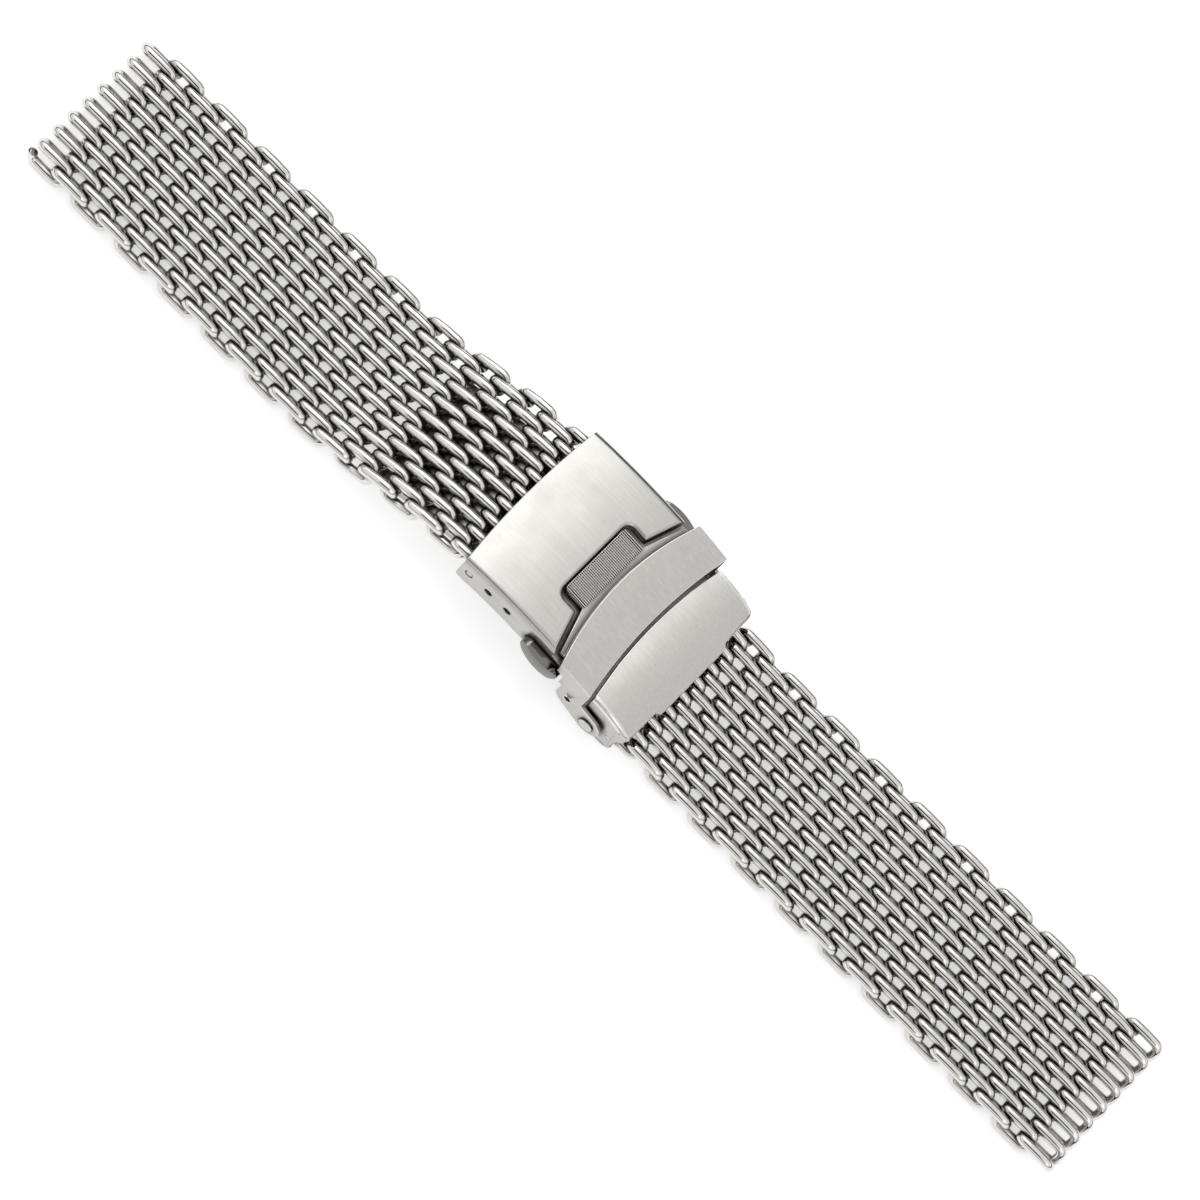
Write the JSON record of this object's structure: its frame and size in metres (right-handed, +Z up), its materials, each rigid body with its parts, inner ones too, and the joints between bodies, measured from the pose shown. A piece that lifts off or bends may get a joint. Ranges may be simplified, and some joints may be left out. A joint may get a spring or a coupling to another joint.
{
  "type": "shark mesh bracelet",
  "caption": "Linked steel wire mesh watch bracelet with an arched fold-over clasp, push-buttons and a flip lock, closed and lying flat.",
  "frame": {"origin": "centre of the bounding box's bottom, on the surface that the closed bracelet lies on", "axes": "+X along the band from the adjustable end to the end piece's band, +Y across the band, +Z up, away from the wrist"},
  "size_m": [0.1858, 0.029, 0.0124],
  "materials": {
    "steel_wire": "round steel wire, polished",
    "satin_steel": "stainless steel, satin, brushed along the band",
    "polished_steel": "stainless steel, polished",
    "spring_steel": "bright drawn"
  },
  "bodies": {
    "base": {"long_blade": "satin_steel", "end_piece": "satin_steel", "catch_post": "polished_steel", "blade_hinge_pin": "polished_steel", "flip_rivets": "polished_steel", "band_b_bar": "spring_steel"},
    "short_blade": {"short_blade": "satin_steel"},
    "cover": {"cover": "satin_steel", "cover_hinge_pin": "polished_steel", "band_a_spring_bar": "spring_steel", "latch_spring": "spring_steel"},
    "button_near": {"button_near": "polished_steel"},
    "button_far": {"button_far": "polished_steel"},
    "flip_lock": {"flip_lock": "satin_steel"},
    "mesh_a_01": {"mesh_a_01": "steel_wire"},
    "mesh_a_02": {"mesh_a_02": "steel_wire"},
    "mesh_a_03": {"mesh_a_03": "steel_wire"},
    "mesh_a_04": {"mesh_a_04": "steel_wire"},
    "mesh_a_05": {"mesh_a_05": "steel_wire"},
    "mesh_a_06": {"mesh_a_06": "steel_wire"},
    "mesh_a_07": {"mesh_a_07": "steel_wire"},
    "mesh_a_08": {"mesh_a_08": "steel_wire"},
    "mesh_a_09": {"mesh_a_09": "steel_wire"},
    "mesh_a_10": {"mesh_a_10": "steel_wire"},
    "mesh_a_11": {"mesh_a_11": "steel_wire"},
    "mesh_a_12": {"mesh_a_12": "steel_wire"},
    "mesh_a_13": {"mesh_a_13": "steel_wire"},
    "mesh_a_14": {"mesh_a_14": "steel_wire"},
    "mesh_a_15": {"mesh_a_15": "steel_wire"},
    "mesh_a_16": {"mesh_a_16": "steel_wire"},
    "mesh_a_17": {"mesh_a_17": "steel_wire"},
    "mesh_a_18": {"mesh_a_18": "steel_wire"},
    "mesh_a_19": {"mesh_a_19": "steel_wire"},
    "mesh_a_20": {"mesh_a_20": "steel_wire"},
    "mesh_b_01": {"mesh_b_01": "steel_wire"},
    "mesh_b_02": {"mesh_b_02": "steel_wire"},
    "mesh_b_03": {"mesh_b_03": "steel_wire"},
    "mesh_b_04": {"mesh_b_04": "steel_wire"},
    "mesh_b_05": {"mesh_b_05": "steel_wire"},
    "mesh_b_06": {"mesh_b_06": "steel_wire"},
    "mesh_b_07": {"mesh_b_07": "steel_wire"},
    "mesh_b_08": {"mesh_b_08": "steel_wire"},
    "mesh_b_09": {"mesh_b_09": "steel_wire"},
    "mesh_b_10": {"mesh_b_10": "steel_wire"},
    "mesh_b_11": {"mesh_b_11": "steel_wire"},
    "mesh_b_12": {"mesh_b_12": "steel_wire"},
    "mesh_b_13": {"mesh_b_13": "steel_wire"},
    "mesh_b_14": {"mesh_b_14": "steel_wire"},
    "mesh_b_15": {"mesh_b_15": "steel_wire"},
    "mesh_b_16": {"mesh_b_16": "steel_wire"},
    "mesh_b_17": {"mesh_b_17": "steel_wire"},
    "mesh_b_18": {"mesh_b_18": "steel_wire"},
    "mesh_b_19": {"mesh_b_19": "steel_wire"},
    "mesh_b_20": {"mesh_b_20": "steel_wire"}
  },
  "joints": [
    {"name": "blade_fold", "type": "hinge", "parent": "base", "child": "short_blade", "pos_m": [-0.03295, 0, 0.00107], "axis": [0, -1, 0], "range_deg": [0, 60]},
    {"name": "cover_fold", "type": "hinge", "parent": "short_blade", "child": "cover", "pos_m": [-0.01425, 0, 0.00659], "axis": [0, 1, 0], "range_deg": [0, 60]},
    {"name": "flip_turn", "type": "hinge", "parent": "base", "child": "flip_lock", "pos_m": [0.00995, 0, 0.00334], "axis": [0, 1, 0], "range_deg": [0, 90]},
    {"name": "band_a_swivel", "type": "hinge", "parent": "cover", "child": "mesh_a_20", "pos_m": [-0.01419, 0, 0.00945], "axis": [0, -1, 0], "range_deg": [-4, 1]},
    {"name": "button_near_press", "type": "slide", "parent": "cover", "child": "button_near", "axis": [0, 1, 0], "range_m": [0, 0.0008], "stiffness_N_per_m": 1500, "deforming": ["latch_spring"]},
    {"name": "button_far_press", "type": "slide", "parent": "cover", "child": "button_far", "axis": [0, -1, 0], "range_m": [0, 0.0008], "stiffness_N_per_m": 1500},
    {"name": "mesh_a_19_hinge", "type": "hinge", "parent": "mesh_a_20", "child": "mesh_a_19", "pos_m": [-0.01755, 0, 0.00904], "axis": [0, -1, 0], "range_deg": [-10, 0]},
    {"name": "mesh_a_18_hinge", "type": "hinge", "parent": "mesh_a_19", "child": "mesh_a_18", "pos_m": [-0.02142, 0, 0.00826], "axis": [0, -1, 0], "range_deg": [-10, 0]},
    {"name": "mesh_a_17_hinge", "type": "hinge", "parent": "mesh_a_18", "child": "mesh_a_17", "pos_m": [-0.02522, 0, 0.00719], "axis": [0, -1, 0], "range_deg": [-10, 0]},
    {"name": "mesh_a_16_hinge", "type": "hinge", "parent": "mesh_a_17", "child": "mesh_a_16", "pos_m": [-0.02896, 0, 0.00593], "axis": [0, -1, 0], "range_deg": [-10, 0]},
    {"name": "mesh_a_15_hinge", "type": "hinge", "parent": "mesh_a_16", "child": "mesh_a_15", "pos_m": [-0.03268, 0, 0.0046], "axis": [0, -1, 0], "range_deg": [-10, 0]},
    {"name": "mesh_a_14_hinge", "type": "hinge", "parent": "mesh_a_15", "child": "mesh_a_14", "pos_m": [-0.03644, 0, 0.00337], "axis": [0, -1, 0], "range_deg": [-10, 12]},
    {"name": "mesh_a_13_hinge", "type": "hinge", "parent": "mesh_a_14", "child": "mesh_a_13", "pos_m": [-0.0403, 0, 0.00253], "axis": [0, -1, 0], "range_deg": [-10, 12]},
    {"name": "mesh_a_12_hinge", "type": "hinge", "parent": "mesh_a_13", "child": "mesh_a_12", "pos_m": [-0.04422, 0, 0.0021], "axis": [0, -1, 0], "range_deg": [-10, 12]},
    {"name": "mesh_a_11_hinge", "type": "hinge", "parent": "mesh_a_12", "child": "mesh_a_11", "pos_m": [-0.04817, 0, 0.00197], "axis": [0, -1, 0], "range_deg": [-10, 12]},
    {"name": "mesh_a_10_hinge", "type": "hinge", "parent": "mesh_a_11", "child": "mesh_a_10", "pos_m": [-0.05212, 0, 0.00197], "axis": [0, -1, 0], "range_deg": [-10, 12]},
    {"name": "mesh_a_09_hinge", "type": "hinge", "parent": "mesh_a_10", "child": "mesh_a_09", "pos_m": [-0.05607, 0, 0.00197], "axis": [0, -1, 0], "range_deg": [-10, 12]},
    {"name": "mesh_a_08_hinge", "type": "hinge", "parent": "mesh_a_09", "child": "mesh_a_08", "pos_m": [-0.06002, 0, 0.00197], "axis": [0, -1, 0], "range_deg": [-10, 12]},
    {"name": "mesh_a_07_hinge", "type": "hinge", "parent": "mesh_a_08", "child": "mesh_a_07", "pos_m": [-0.06397, 0, 0.00197], "axis": [0, -1, 0], "range_deg": [-10, 12]},
    {"name": "mesh_a_06_hinge", "type": "hinge", "parent": "mesh_a_07", "child": "mesh_a_06", "pos_m": [-0.06792, 0, 0.00197], "axis": [0, -1, 0], "range_deg": [-10, 12]},
    {"name": "mesh_a_05_hinge", "type": "hinge", "parent": "mesh_a_06", "child": "mesh_a_05", "pos_m": [-0.07187, 0, 0.00197], "axis": [0, -1, 0], "range_deg": [-10, 12]},
    {"name": "mesh_a_04_hinge", "type": "hinge", "parent": "mesh_a_05", "child": "mesh_a_04", "pos_m": [-0.07582, 0, 0.00197], "axis": [0, -1, 0], "range_deg": [-10, 12]},
    {"name": "mesh_a_03_hinge", "type": "hinge", "parent": "mesh_a_04", "child": "mesh_a_03", "pos_m": [-0.07977, 0, 0.00197], "axis": [0, -1, 0], "range_deg": [-10, 12]},
    {"name": "mesh_a_02_hinge", "type": "hinge", "parent": "mesh_a_03", "child": "mesh_a_02", "pos_m": [-0.08372, 0, 0.00197], "axis": [0, -1, 0], "range_deg": [-10, 12]},
    {"name": "mesh_a_01_hinge", "type": "hinge", "parent": "mesh_a_02", "child": "mesh_a_01", "pos_m": [-0.08767, 0, 0.00197], "axis": [0, -1, 0], "range_deg": [-10, 12]},
    {"name": "mesh_b_01_hinge", "type": "hinge", "parent": "base", "child": "mesh_b_01", "pos_m": [0.01325, 0, 0.00304], "axis": [0, 1, 0], "range_deg": [-4, 4]},
    {"name": "mesh_b_02_hinge", "type": "hinge", "parent": "mesh_b_01", "child": "mesh_b_02", "pos_m": [0.01659, 0, 0.00258], "axis": [0, 1, 0], "range_deg": [-10, 12]},
    {"name": "mesh_b_03_hinge", "type": "hinge", "parent": "mesh_b_02", "child": "mesh_b_03", "pos_m": [0.02053, 0, 0.00222], "axis": [0, 1, 0], "range_deg": [-10, 12]},
    {"name": "mesh_b_04_hinge", "type": "hinge", "parent": "mesh_b_03", "child": "mesh_b_04", "pos_m": [0.02447, 0, 0.00203], "axis": [0, 1, 0], "range_deg": [-10, 12]},
    {"name": "mesh_b_05_hinge", "type": "hinge", "parent": "mesh_b_04", "child": "mesh_b_05", "pos_m": [0.02842, 0, 0.00197], "axis": [0, 1, 0], "range_deg": [-10, 12]},
    {"name": "mesh_b_06_hinge", "type": "hinge", "parent": "mesh_b_05", "child": "mesh_b_06", "pos_m": [0.03237, 0, 0.00197], "axis": [0, 1, 0], "range_deg": [-10, 12]},
    {"name": "mesh_b_07_hinge", "type": "hinge", "parent": "mesh_b_06", "child": "mesh_b_07", "pos_m": [0.03632, 0, 0.00197], "axis": [0, 1, 0], "range_deg": [-10, 12]},
    {"name": "mesh_b_08_hinge", "type": "hinge", "parent": "mesh_b_07", "child": "mesh_b_08", "pos_m": [0.04027, 0, 0.00197], "axis": [0, 1, 0], "range_deg": [-10, 12]},
    {"name": "mesh_b_09_hinge", "type": "hinge", "parent": "mesh_b_08", "child": "mesh_b_09", "pos_m": [0.04422, 0, 0.00197], "axis": [0, 1, 0], "range_deg": [-10, 12]},
    {"name": "mesh_b_10_hinge", "type": "hinge", "parent": "mesh_b_09", "child": "mesh_b_10", "pos_m": [0.04817, 0, 0.00197], "axis": [0, 1, 0], "range_deg": [-10, 12]},
    {"name": "mesh_b_11_hinge", "type": "hinge", "parent": "mesh_b_10", "child": "mesh_b_11", "pos_m": [0.05212, 0, 0.00197], "axis": [0, 1, 0], "range_deg": [-10, 12]},
    {"name": "mesh_b_12_hinge", "type": "hinge", "parent": "mesh_b_11", "child": "mesh_b_12", "pos_m": [0.05607, 0, 0.00197], "axis": [0, 1, 0], "range_deg": [-10, 12]},
    {"name": "mesh_b_13_hinge", "type": "hinge", "parent": "mesh_b_12", "child": "mesh_b_13", "pos_m": [0.06002, 0, 0.00197], "axis": [0, 1, 0], "range_deg": [-10, 12]},
    {"name": "mesh_b_14_hinge", "type": "hinge", "parent": "mesh_b_13", "child": "mesh_b_14", "pos_m": [0.06397, 0, 0.00197], "axis": [0, 1, 0], "range_deg": [-10, 12]},
    {"name": "mesh_b_15_hinge", "type": "hinge", "parent": "mesh_b_14", "child": "mesh_b_15", "pos_m": [0.06792, 0, 0.00197], "axis": [0, 1, 0], "range_deg": [-10, 12]},
    {"name": "mesh_b_16_hinge", "type": "hinge", "parent": "mesh_b_15", "child": "mesh_b_16", "pos_m": [0.07187, 0, 0.00197], "axis": [0, 1, 0], "range_deg": [-10, 12]},
    {"name": "mesh_b_17_hinge", "type": "hinge", "parent": "mesh_b_16", "child": "mesh_b_17", "pos_m": [0.07582, 0, 0.00197], "axis": [0, 1, 0], "range_deg": [-10, 12]},
    {"name": "mesh_b_18_hinge", "type": "hinge", "parent": "mesh_b_17", "child": "mesh_b_18", "pos_m": [0.07977, 0, 0.00197], "axis": [0, 1, 0], "range_deg": [-10, 12]},
    {"name": "mesh_b_19_hinge", "type": "hinge", "parent": "mesh_b_18", "child": "mesh_b_19", "pos_m": [0.08372, 0, 0.00197], "axis": [0, 1, 0], "range_deg": [-10, 12]},
    {"name": "mesh_b_20_hinge", "type": "hinge", "parent": "mesh_b_19", "child": "mesh_b_20", "pos_m": [0.08767, 0, 0.00197], "axis": [0, 1, 0], "range_deg": [-10, 12]}
  ],
  "couplings": [
    {"joint": "cover_fold", "follows": "blade_fold", "ratio": 1},
    {"joint": "flip_turn", "follows": "blade_fold", "ratio": 1.5}
  ]
}
